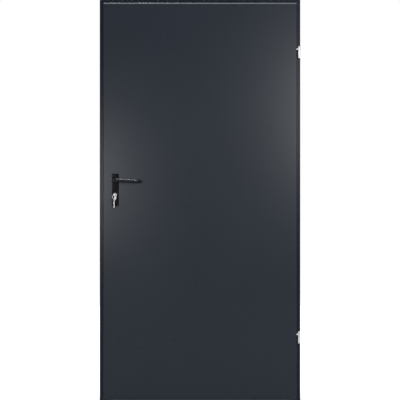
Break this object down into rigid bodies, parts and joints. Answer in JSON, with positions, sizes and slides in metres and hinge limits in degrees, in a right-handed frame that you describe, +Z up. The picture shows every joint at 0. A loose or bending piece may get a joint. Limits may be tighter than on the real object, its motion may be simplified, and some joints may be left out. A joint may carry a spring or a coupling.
{
  "type": "steel utility door",
  "caption": "Hinged steel door leaf in a rebated corner frame, with a lever handle set, a mortise lock, a cylinder with key, and pin hinges.",
  "frame": {"origin": "on the back of the hinge jamb's face, where it lies on the wall, in the middle of its width at floor level", "axes": "+X to the hinge side as seen from the room, +Y into the wall, +Z up"},
  "size_m": [1.006, 0.175, 2.013],
  "materials": {
    "frame_paint": "satin powder coat, dark grey",
    "leaf_paint": "satin powder coat, dark grey",
    "seal_rubber": "matt black",
    "zinc": "bright zinc plated",
    "steel": "satin",
    "black_plastic": "fine-grained black",
    "nickel": "satin nickel on brass",
    "key_nickel": "bright nickel on brass",
    "honeycomb": "paper honeycomb"
  },
  "bodies": {
    "frame": {"lock_jamb": "frame_paint", "hinge_jamb": "frame_paint", "head_member": "frame_paint", "keep_pockets": "frame_paint", "lock_side_seal": "seal_rubber", "hinge_side_seal": "seal_rubber", "head_seal": "seal_rubber", "upper_hinge_frame_half": "zinc", "lower_hinge_frame_half": "zinc", "upper_hinge_pin": "steel", "lower_hinge_pin": "steel"},
    "leaf": {"front_skin": "leaf_paint", "back_skin": "leaf_paint", "leaf_core": "honeycomb", "lock_case": "steel", "lock_forend": "steel", "latch_bolt": "nickel", "dead_bolt": "nickel", "front_plate": "black_plastic", "back_plate": "black_plastic", "lock_cylinder": "nickel", "back_plug": "nickel", "upper_hinge_leaf_half": "zinc", "lower_hinge_leaf_half": "zinc"},
    "lever_set": {"front_lever": "black_plastic", "back_lever": "black_plastic", "lever_spindle": "steel"},
    "key_set": {"front_plug": "nickel", "key": "key_nickel"},
    "ring_set": {"key_ring": "steel", "spare_key": "key_nickel"}
  },
  "joints": [
    {"name": "leaf_swing", "type": "hinge", "parent": "frame", "child": "leaf", "pos_m": [0.0075, -0.01375, 0], "axis": [0, 0, 1], "range_deg": [0, 170]},
    {"name": "lever_turn", "type": "hinge", "parent": "leaf", "child": "lever_set", "pos_m": [-0.911, 0, 1.105], "axis": [0, 1, 0], "range_deg": [0, 40], "stiffness_Nm_per_rad": 1, "springref_deg": -20.05},
    {"name": "key_turn", "type": "hinge", "parent": "leaf", "child": "key_set", "pos_m": [-0.911, -0.033, 1.033], "axis": [0, 1, 0], "range_deg": [-90, 90]},
    {"name": "ring_turn", "type": "hinge", "parent": "key_set", "child": "ring_set", "pos_m": [-0.911, -0.055, 1.02475], "axis": [0, 1, 0], "range_deg": [-90, 90]}
  ],
  "couplings": [
    {"joint": "ring_turn", "follows": "key_turn", "ratio": -1}
  ]
}
